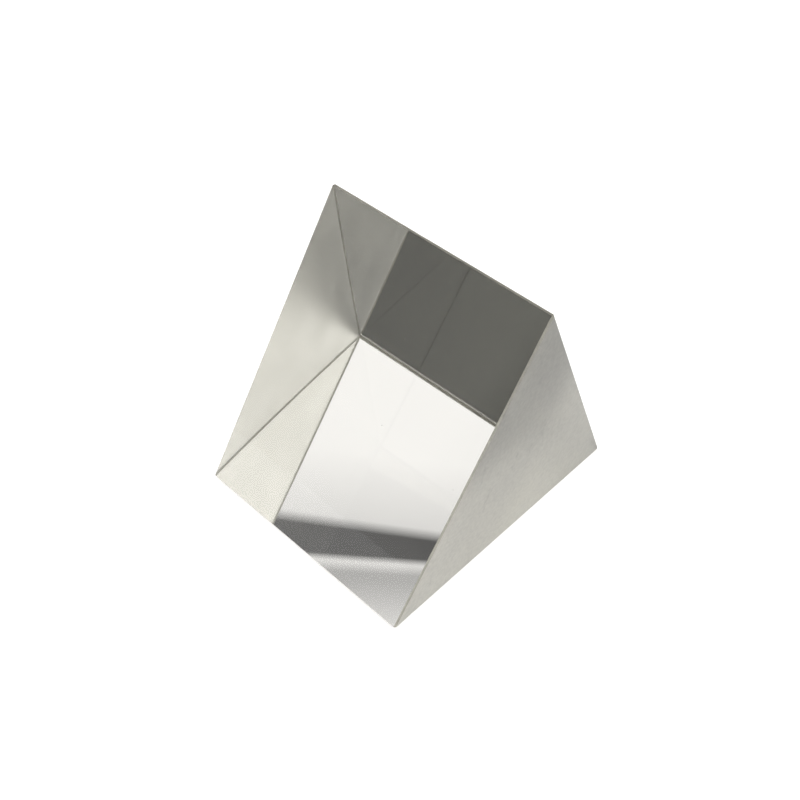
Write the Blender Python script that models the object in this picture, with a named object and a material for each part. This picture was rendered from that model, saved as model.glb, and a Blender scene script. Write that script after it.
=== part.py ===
"""Equilateral dispersing prism: one solid block of optical flint glass.

Three polished rectangular faces meet at 60 degrees, and the two triangular ends are finely ground.
Every edge has a small ground flat, which keeps it from chipping. The prism lies on one polished
face, with its opposite edge on top.

Frame: metres, +Z up. +X runs along the prism's long edges, +Y points to the rear lower edge, and
the origin is the middle of the bottom face.
"""

import math

import bmesh
import bpy
from mathutils import Vector

# Driving dimensions, in metres.
SIDE = 0.032  # width of each polished face, measured between the sharp edges
LENGTH = 0.025  # from one ground end face to the other
EDGE_FLAT = 0.00025  # width of the ground flat along each long edge
END_SETBACK = 0.00015  # how far the ground flat around each end face is set back from its rim

CORNER_ANGLE = math.radians(60)  # between any two polished faces
HEIGHT = SIDE * math.sin(CORNER_ANGLE)  # from the bottom face to the sharp top edge

GLASS_COLOUR = (0.93, 0.94, 0.90, 1.0)
GLASS_ROUGHNESS = 0.02
GLASS_INDEX = 1.65  # dense flint


def clear_scene():
    """Remove every object, so that only the prism is left."""
    for obj in list(bpy.data.objects):
        bpy.data.objects.remove(obj, do_unlink=True)


def make_glass():
    """Clear, slightly warm flint glass."""
    material = bpy.data.materials.new("flint_glass")
    material.use_nodes = True
    shader = material.node_tree.nodes["Principled BSDF"]
    shader.inputs["Base Color"].default_value = GLASS_COLOUR
    shader.inputs["Roughness"].default_value = GLASS_ROUGHNESS
    shader.inputs["IOR"].default_value = GLASS_INDEX
    shader.inputs["Transmission Weight"].default_value = 1.0
    return material


def cross_section():
    """The triangle in the YZ plane with its corners cut, counter-clockwise seen from +X."""
    corners = (
        Vector((-SIDE / 2, 0.0)),
        Vector((SIDE / 2, 0.0)),
        Vector((0.0, HEIGHT)),
    )
    # A flat of width w across a corner leaves each side w / (2 sin(half the corner angle)) from it.
    setback = EDGE_FLAT / (2 * math.sin(CORNER_ANGLE / 2))
    points = []
    for index, corner in enumerate(corners):
        before = corners[index - 1]
        after = corners[(index + 1) % len(corners)]
        points.append(corner + (before - corner).normalized() * setback)
        points.append(corner + (after - corner).normalized() * setback)
    return points


def make_prism(material):
    """Extrude the cross-section along X and bevel the rim of each end face."""
    mesh = bmesh.new()
    outline = [mesh.verts.new((-LENGTH / 2, y, z)) for y, z in cross_section()]
    left_end = mesh.faces.new(outline)
    extruded = bmesh.ops.extrude_face_region(mesh, geom=[left_end], use_keep_orig=True)
    right_verts = [item for item in extruded["geom"] if isinstance(item, bmesh.types.BMVert)]
    bmesh.ops.translate(mesh, verts=right_verts, vec=(LENGTH, 0.0, 0.0))
    bmesh.ops.recalc_face_normals(mesh, faces=mesh.faces)

    end_faces = [face for face in mesh.faces if abs(face.normal.x) > 0.99]
    rim = {edge for face in end_faces for edge in face.edges}
    bmesh.ops.bevel(mesh, geom=list(rim), offset=END_SETBACK, segments=1, affect="EDGES")
    bmesh.ops.recalc_face_normals(mesh, faces=mesh.faces)

    data = bpy.data.meshes.new("glass_prism")
    mesh.to_mesh(data)
    mesh.free()
    data.materials.append(material)
    prism = bpy.data.objects.new("glass_prism", data)
    bpy.context.scene.collection.objects.link(prism)
    return prism


def main():
    clear_scene()
    make_prism(make_glass())


main()
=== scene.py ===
"""Looks of the dense flint glass prism: polished faces, ground ends and hand-ground edge flats."""

import math
import random

import bmesh
import bpy
from mathutils import Matrix, Vector


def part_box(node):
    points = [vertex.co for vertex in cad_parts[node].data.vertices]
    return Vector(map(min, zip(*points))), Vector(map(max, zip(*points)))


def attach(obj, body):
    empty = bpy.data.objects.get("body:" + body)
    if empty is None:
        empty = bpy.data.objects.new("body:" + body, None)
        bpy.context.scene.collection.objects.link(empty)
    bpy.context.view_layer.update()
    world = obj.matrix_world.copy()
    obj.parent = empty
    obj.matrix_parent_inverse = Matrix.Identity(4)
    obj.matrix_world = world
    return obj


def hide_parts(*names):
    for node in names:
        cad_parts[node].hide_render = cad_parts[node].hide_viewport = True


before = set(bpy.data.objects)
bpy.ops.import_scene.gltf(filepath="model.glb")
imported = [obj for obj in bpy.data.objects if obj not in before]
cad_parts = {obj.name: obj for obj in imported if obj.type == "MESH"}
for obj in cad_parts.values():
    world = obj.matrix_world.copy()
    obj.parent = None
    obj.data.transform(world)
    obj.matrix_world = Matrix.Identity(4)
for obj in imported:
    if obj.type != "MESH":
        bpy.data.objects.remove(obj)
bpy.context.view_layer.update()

MM = 0.001
SIN_60 = math.sqrt(3) / 2

# The glass. Widths of the ground flats are those of the CAD solid.
GLASS_INDEX = 1.65
EDGE_FLAT = 0.25 * MM
END_SETBACK = 0.15 * MM
FLAT_STEP = 0.4 * MM  # spacing of the points along a hand-ground flat
FLAT_WANDER = 0.012 * MM  # how far a flat's border strays into the face beside it
CHIPS_PER_FACE = 2
CHIP_DEPTH = 0.12 * MM
CHIP_REACH = 0.5 * MM
MOTTLE = 0.28  # how far the tone of ground glass strays
CLOUD_SHARE = 0.45  # of that mottle, the share that is broad clouds
ROUGHNESS_SPREAD = 0.04
PIT_DEPTH = 0.02 * MM
SCUFF_TONE = 0.72  # the share of its tone that scuffed ground glass keeps
SEED = 7
NOISE_LOW, NOISE_HIGH = 0.3, 0.7  # most of a noise texture's values lie between these

# The camera, which looks down at the slanted front face.
CAMERA_TARGET = Vector((0.179, -3.105, 11.309)) * MM
CAMERA_DISTANCE = 93.7 * MM
CAMERA_AZIMUTH = math.radians(39.36)
CAMERA_ELEVATION = math.radians(44.63)
CAMERA_ROLL = math.radians(5.31)
CAMERA_LENS = 44.8

# The studio is a square white room. Heights are in degrees above the horizon, as seen straight
# towards the nearest wall. A wall dims towards its soft top edge. A dark gap parts it from the
# ceiling, which has a bright strip along its near edge and brightens further up.
WALL_AZIMUTH = -36.0
CEILING_AZIMUTH = -41.0
WALL_DIMS_FROM = 48.0
WALL_TOP = 51.8
WALL_TOP_LIGHT = 0.77
WALL_TOP_SOFTNESS = 0.7
GAP_LIGHT = 0.06
CEILING_EDGE = 53.6
CEILING_EDGE_SOFTNESS = 0.4
STRIP_WIDTH = 0.5
STRIP_SOFTNESS = 0.5
STRIP_LIGHT = 0.32
CEILING_NEAR_LIGHT = 0.42
CEILING_BRIGHTENS_FROM = 55.0
CEILING_BRIGHTENS_TO = 58.0
CEILING_FAR_LIGHT = 0.78
SOFTBOX_FROM = 58.5
SOFTBOX_TO = 66.0
SOFTBOX_LIGHT = 1.0

# Azimuths are degrees from +Y towards +X. Below DIM_TO the rear walls are nearly unlit and the
# front wall is dimmer. A panel brightens the right.
DIM_FROM = 35.0
DIM_TO = 40.5
REAR_AZIMUTH = 5.0
REAR_DIMMING = 0.85
FRONT_AZIMUTH = 180.0
FRONT_DIMMING = 0.28
AHEAD_DIMMING = 0.65  # what the front wall has less straight ahead
FLOOR_GLOW_TO = 7.0  # how high the floor's light shows on the front wall
PANEL_AZIMUTH = 78.0
PANEL_LIGHT = 0.5
DAYLIGHT_AZIMUTH = -41.0
DAYLIGHT = (0.975, 0.965, 1.015)
LAMPLIGHT = (1.0, 0.986, 0.968)  # everywhere else

# A dark grey sheet of painted shade lies under the block and behind its left end, where the camera
# doesn't see it directly. It stands in for the shade there and makes the glass above it look dark.
FLOOR_SIZE = 8.0
FLOOR_COLOUR = (0.93, 0.93, 0.925)
PAINTED_SHADE_COLOUR = (0.081, 0.082, 0.079)
PAINTED_SHADE_OUTLINE = [
    (x * MM, y * MM)
    for x, y in ((12.2, -15.7), (12.2, 15.7), (5.0, 20.0), (-32.0, 20.0), (-12.2, -13.0))
]

# The key light stands behind the camera, so the camera doesn't see the block's shadow.
KEY_ELEVATION = math.radians(47)
KEY_STRENGTH = 1.8
KEY_SOFTNESS = math.radians(7)


def new_material(name):
    material = bpy.data.materials.new(name)
    material.use_nodes = True
    return material, material.node_tree.nodes, material.node_tree.links


def math_node(nodes, links, operation, first, second=None):
    """A Math node whose inputs are sockets or numbers."""
    node = nodes.new("ShaderNodeMath")
    node.operation = operation
    for index, value in enumerate((first, second)):
        if value is None:
            continue
        if isinstance(value, bpy.types.NodeSocket):
            links.new(value, node.inputs[index])
        else:
            node.inputs[index].default_value = value
    return node.outputs[0]


def map_range(nodes, links, value, low, high, to_low, to_high):
    node = nodes.new("ShaderNodeMapRange")
    links.new(value, node.inputs["Value"])
    node.inputs["From Min"].default_value = low
    node.inputs["From Max"].default_value = high
    node.inputs["To Min"].default_value = to_low
    node.inputs["To Max"].default_value = to_high
    return node.outputs["Result"]


def object_place(nodes):
    return nodes.new("ShaderNodeTexCoord").outputs["Object"]


def set_toned_colour(nodes, links, shader, colour, tone):
    """The base colour, multiplied by a tone near 1."""
    toned = nodes.new("ShaderNodeVectorMath")
    toned.operation = "SCALE"
    toned.inputs[0].default_value = colour
    links.new(tone, toned.inputs["Scale"])
    links.new(toned.outputs["Vector"], shader.inputs["Base Color"])


def noise(nodes, links, scale, detail=3.0, roughness=0.5, stretch=(1.0, 1.0, 1.0)):
    """Noise in the object's own metres. A scale of 1000 has features about a millimetre across."""
    mapping = nodes.new("ShaderNodeMapping")
    mapping.inputs["Scale"].default_value = stretch
    links.new(object_place(nodes), mapping.inputs["Vector"])
    texture = nodes.new("ShaderNodeTexNoise")
    texture.inputs["Scale"].default_value = scale
    texture.inputs["Detail"].default_value = detail
    texture.inputs["Roughness"].default_value = roughness
    links.new(mapping.outputs["Vector"], texture.inputs["Vector"])
    return texture.outputs["Fac"]


def glass_shader(nodes, colour):
    shader = nodes["Principled BSDF"]
    shader.inputs["Base Color"].default_value = (*colour, 1.0)
    shader.inputs["IOR"].default_value = GLASS_INDEX
    shader.inputs["Transmission Weight"].default_value = 1.0
    return shader


def polished_glass():
    """Optically clear, with a few specks of dust."""
    material, nodes, links = new_material("polished_glass")
    shader = glass_shader(nodes, (0.975, 0.970, 0.885))
    dust = nodes.new("ShaderNodeTexVoronoi")
    dust.inputs["Scale"].default_value = 260.0
    links.new(object_place(nodes), dust.inputs["Vector"])
    speck = map_range(nodes, links, dust.outputs["Distance"], 0.022, 0.034, 0.35, 0.0)
    links.new(speck, shader.inputs["Roughness"])
    return material


def painted_shade_gradient(nodes, links, shade_drift):
    """Painted shade: a tone that falls slowly across the face, by the given amount for each metre
    along X, Y and Z.
    """
    along = nodes.new("ShaderNodeVectorMath")
    along.operation = "DOT_PRODUCT"
    links.new(object_place(nodes), along.inputs[0])
    along.inputs[1].default_value = shade_drift
    return math_node(nodes, links, "SUBTRACT", 1.0, along.outputs["Value"])


def ground_glass(name, colour, roughness, grain, clear=1.0, shade_drift=(0.0, 0.0, 0.0)):
    """Satin ground glass: fine pits, a half-millimetre mottle, faint cloudiness, a few scuffs and
    painted shade that darkens it slowly across the face.
    """
    material, nodes, links = new_material(name)
    shader = glass_shader(nodes, colour)
    cloud = noise(nodes, links, 160.0, detail=3.0)
    mottle = noise(nodes, links, 2300.0, detail=3.0, roughness=0.65)
    pits = noise(nodes, links, 5200.0, detail=2.0, roughness=0.6)
    smoothest = roughness - ROUGHNESS_SPREAD
    roughest = roughness + ROUGHNESS_SPREAD
    rough = map_range(nodes, links, cloud, NOISE_LOW, NOISE_HIGH, smoothest, roughest)
    links.new(rough, shader.inputs["Roughness"])
    cloud_part = math_node(nodes, links, "MULTIPLY", cloud, CLOUD_SHARE)
    mottle_part = math_node(nodes, links, "MULTIPLY", mottle, 1.0 - CLOUD_SHARE)
    mixed = math_node(nodes, links, "ADD", cloud_part, mottle_part)
    scuffs = noise(nodes, links, 300.0, detail=5.0, roughness=0.7, stretch=(1.0, 2.0, 1.0))
    scuffed = map_range(nodes, links, scuffs, 0.6, 0.72, 1.0, SCUFF_TONE)
    mottled = map_range(
        nodes, links, mixed, NOISE_LOW, NOISE_HIGH, 1.0 - MOTTLE, 1.0 + MOTTLE
    )
    worn = math_node(nodes, links, "MULTIPLY", mottled, scuffed)
    # The mottle and scuffs, times painted shade that falls across the face.
    tone = math_node(nodes, links, "MULTIPLY", worn, painted_shade_gradient(nodes, links, shade_drift))
    shader.inputs["Transmission Weight"].default_value = clear
    set_toned_colour(nodes, links, shader, colour, tone)
    bump = nodes.new("ShaderNodeBump")
    bump.inputs["Strength"].default_value = grain
    bump.inputs["Distance"].default_value = PIT_DEPTH
    links.new(pits, bump.inputs["Height"])
    links.new(bump.outputs["Normal"], shader.inputs["Normal"])
    return material


def cross_section(side):
    """The triangle with its corners cut, counter-clockwise seen from +X, as (y, z)."""
    corners = (
        Vector((-side / 2, 0.0)),
        Vector((side / 2, 0.0)),
        Vector((0.0, side * SIN_60)),
    )
    points = []
    for index, corner in enumerate(corners):
        before = corners[index - 1]
        after = corners[(index + 1) % 3]
        points.append(corner + (before - corner).normalized() * EDGE_FLAT)
        points.append(corner + (after - corner).normalized() * EDGE_FLAT)
    return points


def prism_solid(low, high):
    """The block that fills that box, with its edge flats and the rims of its ends."""
    side = high.z / SIN_60 + EDGE_FLAT
    mesh = bmesh.new()
    outline = [mesh.verts.new((low.x, y, z)) for y, z in cross_section(side)]
    end = mesh.faces.new(outline)
    grown = bmesh.ops.extrude_face_region(mesh, geom=[end], use_keep_orig=True)
    moved = [item for item in grown["geom"] if isinstance(item, bmesh.types.BMVert)]
    bmesh.ops.translate(mesh, verts=moved, vec=(high.x - low.x, 0.0, 0.0))
    bmesh.ops.recalc_face_normals(mesh, faces=mesh.faces)
    ends = [face for face in mesh.faces if abs(face.normal.x) > 0.99]
    rim = {edge for face in ends for edge in face.edges}
    bmesh.ops.bevel(mesh, geom=list(rim), offset=END_SETBACK, segments=1, affect="EDGES")
    bmesh.ops.recalc_face_normals(mesh, faces=mesh.faces)
    return mesh


def main_faces(mesh):
    """The five large faces, by area."""
    return sorted(mesh.faces, key=lambda face: face.calc_area())[-5:]


def wander_flats(mesh):
    """Roughen the borders of the ground flats, keeping every polished and end face truly flat."""
    for face in main_faces(mesh):
        for edge in list(face.edges):
            cuts = int(edge.calc_length() / FLAT_STEP)
            if cuts > 1:
                bmesh.ops.subdivide_edges(mesh, edges=[edge], cuts=cuts)
    chance = random.Random(SEED)
    for face in main_faces(mesh):
        middle = face.calc_center_median()
        corners = list(face.verts)
        shifts = []
        chips = [chance.choice(corners).co.copy() for _ in range(CHIPS_PER_FACE)]
        for loop in face.loops:
            before = loop.link_loop_prev.vert.co
            after = loop.link_loop_next.vert.co
            here = loop.vert.co
            along = after - before
            straight = (here - before).angle(after - here, 0.0) < 0.01
            if not straight:
                continue
            inward = face.normal.cross(along).normalized()
            if inward.dot(middle - here) < 0:
                inward.negate()
            depth = FLAT_WANDER * chance.random() ** 2
            for chip in chips:
                reach = (here - chip).length / CHIP_REACH
                if reach < 1:
                    depth = max(depth, CHIP_DEPTH * (1 - reach * reach))
            shifts.append((loop.vert, inward * depth))
        for vert, shift in shifts:
            vert.co += shift


def build_prism():
    low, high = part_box("glass_prism")
    mesh = prism_solid(low, high)
    wander_flats(mesh)
    for face in mesh.faces:
        face.material_index = 3
    for face in main_faces(mesh):
        towards_end = round(face.normal.x)
        face.material_index = {0: 0, -1: 1, 1: 2}[towards_end]
    data = bpy.data.meshes.new("flint_glass_prism")
    mesh.to_mesh(data)
    mesh.free()
    for material in (
        polished_glass(),
        # Both ends are ground alike. The right end's darker colour is painted shade, and the drift
        # adds painted shade towards +Y on each end and towards the right end's top.
        ground_glass("left_end_glass", (0.79, 0.77, 0.675), 0.445, 0.5, shade_drift=(0.0, 6.0, 0.0)),
        ground_glass("right_end_glass", (0.44, 0.43, 0.37), 0.38, 0.5, shade_drift=(0.0, 18.0, 11.0)),
        ground_glass("ground_flat_glass", (0.24, 0.23, 0.19), 0.5, 0.6, clear=0.5),
    ):
        data.materials.append(material)
    prism = bpy.data.objects.new("flint_glass_prism", data)
    bpy.context.scene.collection.objects.link(prism)
    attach(prism, "root")
    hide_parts("glass_prism")
    return prism


def matte(name, colour, scale, spread, rise=0.0):
    """Matt paper with a fine grain. Its tone can rise along +X, by that share a centimetre."""
    material, nodes, links = new_material(name)
    shader = nodes["Principled BSDF"]
    shader.inputs["Roughness"].default_value = 0.9
    shader.inputs["Specular IOR Level"].default_value = 0.1
    grain = noise(nodes, links, scale)
    tone = map_range(nodes, links, grain, NOISE_LOW, NOISE_HIGH, 1.0 - spread, 1.0 + spread)
    across = nodes.new("ShaderNodeSeparateXYZ")
    links.new(object_place(nodes), across.inputs["Vector"])
    slope = map_range(
        nodes, links, across.outputs["X"], -10 * MM, 10 * MM, 1.0 - rise, 1.0 + rise
    )
    toned = math_node(nodes, links, "MULTIPLY", tone, slope)
    set_toned_colour(nodes, links, shader, colour, toned)
    return material


def stage_sheet(name, outline, z, material):
    """A flat sheet with that outline, as (x, y) points, at height z."""
    mesh = bmesh.new()
    mesh.faces.new([mesh.verts.new((x, y, z)) for x, y in outline])
    data = bpy.data.meshes.new(name)
    mesh.to_mesh(data)
    mesh.free()
    data.materials.append(material)
    sheet = bpy.data.objects.new(name, data)
    bpy.context.scene.collection.objects.link(sheet)
    return sheet


def build_stage():
    reach = FLOOR_SIZE / 2
    corners = ((-reach, -reach), (reach, -reach), (reach, reach), (-reach, reach))
    stage_sheet("studio_floor", corners, -0.1 * MM, matte("pale_floor", FLOOR_COLOUR, 300.0, 0.01))
    # Painted shade: a dark sheet under the block and behind its left end, lighter towards +X.
    card = matte("painted_shade_card", PAINTED_SHADE_COLOUR, 900.0, 0.05, rise=0.35)
    stage_sheet("painted_shade_card", PAINTED_SHADE_OUTLINE, -0.05 * MM, card)


def wall_height(nodes, links, direction, azimuth):
    """The height of a direction in a square room, in degrees, with one wall facing that azimuth."""
    sine = math.sin(math.radians(azimuth))
    cosine = math.cos(math.radians(azimuth))
    spans = []
    for x_share, y_share in ((sine, cosine), (cosine, -sine)):
        x_part = math_node(nodes, links, "MULTIPLY", direction.outputs["X"], x_share)
        y_part = math_node(nodes, links, "MULTIPLY", direction.outputs["Y"], y_share)
        both = math_node(nodes, links, "ADD", x_part, y_part)
        spans.append(math_node(nodes, links, "ABSOLUTE", both))
    nearest = math_node(nodes, links, "MAXIMUM", spans[0], spans[1])
    angle = math_node(nodes, links, "ARCTAN2", direction.outputs["Z"], nearest)
    return math_node(nodes, links, "DEGREES", angle)


def wall_light(nodes, links, height):
    """White paper that dims towards its soft top edge."""
    paper = map_range(nodes, links, height, WALL_DIMS_FROM, WALL_TOP, 1.0, WALL_TOP_LIGHT)
    fade = map_range(nodes, links, height, WALL_TOP, WALL_TOP + WALL_TOP_SOFTNESS, 1.0, 0.0)
    return math_node(nodes, links, "MULTIPLY", paper, fade)


def ceiling_light(nodes, links, height):
    """A pale ceiling with a bright strip along its near edge."""
    strip_end = CEILING_EDGE + STRIP_WIDTH
    full_from = CEILING_EDGE + CEILING_EDGE_SOFTNESS
    edge = map_range(nodes, links, height, CEILING_EDGE, full_from, 0.0, 1.0)
    faded_by = strip_end + STRIP_SOFTNESS
    strip = map_range(nodes, links, height, strip_end, faded_by, STRIP_LIGHT, 0.0)
    paper = map_range(
        nodes,
        links,
        height,
        CEILING_BRIGHTENS_FROM,
        CEILING_BRIGHTENS_TO,
        CEILING_NEAR_LIGHT,
        CEILING_FAR_LIGHT,
    )
    both = math_node(nodes, links, "ADD", paper, strip)
    return math_node(nodes, links, "MULTIPLY", both, edge)


def facing(nodes, links, compass, azimuth, low, high, share):
    """From 0 away from an azimuth up to that share towards it; low and high are cosines."""
    offset = math_node(nodes, links, "SUBTRACT", compass, math.radians(azimuth))
    cosine = math_node(nodes, links, "COSINE", offset)
    return map_range(nodes, links, cosine, low, high, 0.0, share)


def light_by_side(nodes, links, compass, height):
    """The share of the walls' light that each side of the room gives."""
    low_down = map_range(nodes, links, height, DIM_FROM, DIM_TO, 1.0, 0.0)
    rear = facing(nodes, links, compass, REAR_AZIMUTH, 0.2, 0.6, REAR_DIMMING)
    front = facing(nodes, links, compass, FRONT_AZIMUTH, 0.3, 0.7, FRONT_DIMMING)
    ahead = facing(nodes, links, compass, FRONT_AZIMUTH, 0.915, 0.965, AHEAD_DIMMING)
    above_floor = map_range(nodes, links, height, 0.0, FLOOR_GLOW_TO, 0.0, 1.0)
    front_share = math_node(nodes, links, "ADD", front, ahead)
    front_dimmed = math_node(nodes, links, "MULTIPLY", front_share, above_floor)
    dimming = math_node(nodes, links, "ADD", rear, front_dimmed)
    dimmed = math_node(nodes, links, "MULTIPLY", dimming, low_down)
    panel = facing(nodes, links, compass, PANEL_AZIMUTH, 0.4, 0.8, PANEL_LIGHT)
    lit = math_node(nodes, links, "ADD", 1.0, panel)
    return math_node(nodes, links, "SUBTRACT", lit, dimmed)


def build_world():
    world = bpy.data.worlds.new("studio")
    bpy.context.scene.world = world
    world.use_nodes = True
    nodes, links = world.node_tree.nodes, world.node_tree.links
    place = nodes.new("ShaderNodeTexCoord")
    direction = nodes.new("ShaderNodeSeparateXYZ")
    links.new(place.outputs["Generated"], direction.inputs["Vector"])
    compass = math_node(nodes, links, "ARCTAN2", direction.outputs["X"], direction.outputs["Y"])
    height = wall_height(nodes, links, direction, WALL_AZIMUTH)
    wall = wall_light(nodes, links, height)
    ceiling_height = wall_height(nodes, links, direction, CEILING_AZIMUTH)
    ceiling = ceiling_light(nodes, links, ceiling_height)
    surfaces = math_node(nodes, links, "MAXIMUM", wall, ceiling)
    room = math_node(nodes, links, "MAXIMUM", surfaces, GAP_LIGHT)
    by_side = light_by_side(nodes, links, compass, height)
    walls = math_node(nodes, links, "MULTIPLY", room, by_side)
    softbox = map_range(nodes, links, height, SOFTBOX_FROM, SOFTBOX_TO, 0.0, SOFTBOX_LIGHT)
    total = math_node(nodes, links, "ADD", walls, softbox)
    links.new(total, nodes["Background"].inputs["Strength"])
    tint = nodes.new("ShaderNodeMix")
    tint.data_type = "RGBA"
    links.new(
        facing(nodes, links, compass, DAYLIGHT_AZIMUTH, 0.7, 0.9, 1.0), tint.inputs["Factor"]
    )
    tint.inputs["A"].default_value = (*LAMPLIGHT, 1.0)
    tint.inputs["B"].default_value = (*DAYLIGHT, 1.0)
    links.new(tint.outputs["Result"], nodes["Background"].inputs["Color"])


def towards_camera(elevation):
    """A direction on the camera's side of the block, at that elevation."""
    level = math.cos(elevation)
    return Vector(
        (
            math.sin(CAMERA_AZIMUTH) * level,
            -math.cos(CAMERA_AZIMUTH) * level,
            math.sin(elevation),
        )
    )


def build_key_light():
    data = bpy.data.lights.new("key_light", "SUN")
    data.energy = KEY_STRENGTH
    data.angle = KEY_SOFTNESS
    light = bpy.data.objects.new("key_light", data)
    light.matrix_world = towards_camera(KEY_ELEVATION).to_track_quat("Z", "Y").to_matrix().to_4x4()
    bpy.context.scene.collection.objects.link(light)


def build_camera():
    """Stands back from the target by azimuth and elevation, then rolls about its own axis."""
    back = towards_camera(CAMERA_ELEVATION)
    data = bpy.data.cameras.new("camera")
    data.lens = CAMERA_LENS
    data.clip_start = 1 * MM
    data.clip_end = 50.0
    camera = bpy.data.objects.new("camera", data)
    aim = (-back).to_track_quat("-Z", "Y").to_matrix().to_4x4()
    roll = Matrix.Rotation(CAMERA_ROLL, 4, "Z")
    camera.matrix_world = Matrix.Translation(CAMERA_TARGET + back * CAMERA_DISTANCE) @ aim @ roll
    bpy.context.scene.collection.objects.link(camera)
    bpy.context.scene.camera = camera


def set_light_paths():
    """Enough bounces for light that is reflected many times inside the glass."""
    scene = bpy.context.scene
    scene.cycles.max_bounces = 24
    scene.cycles.glossy_bounces = 16
    scene.cycles.transmission_bounces = 24
    scene.view_settings.view_transform = "Standard"


build_camera()
build_prism()
build_stage()
build_world()
build_key_light()
set_light_paths()
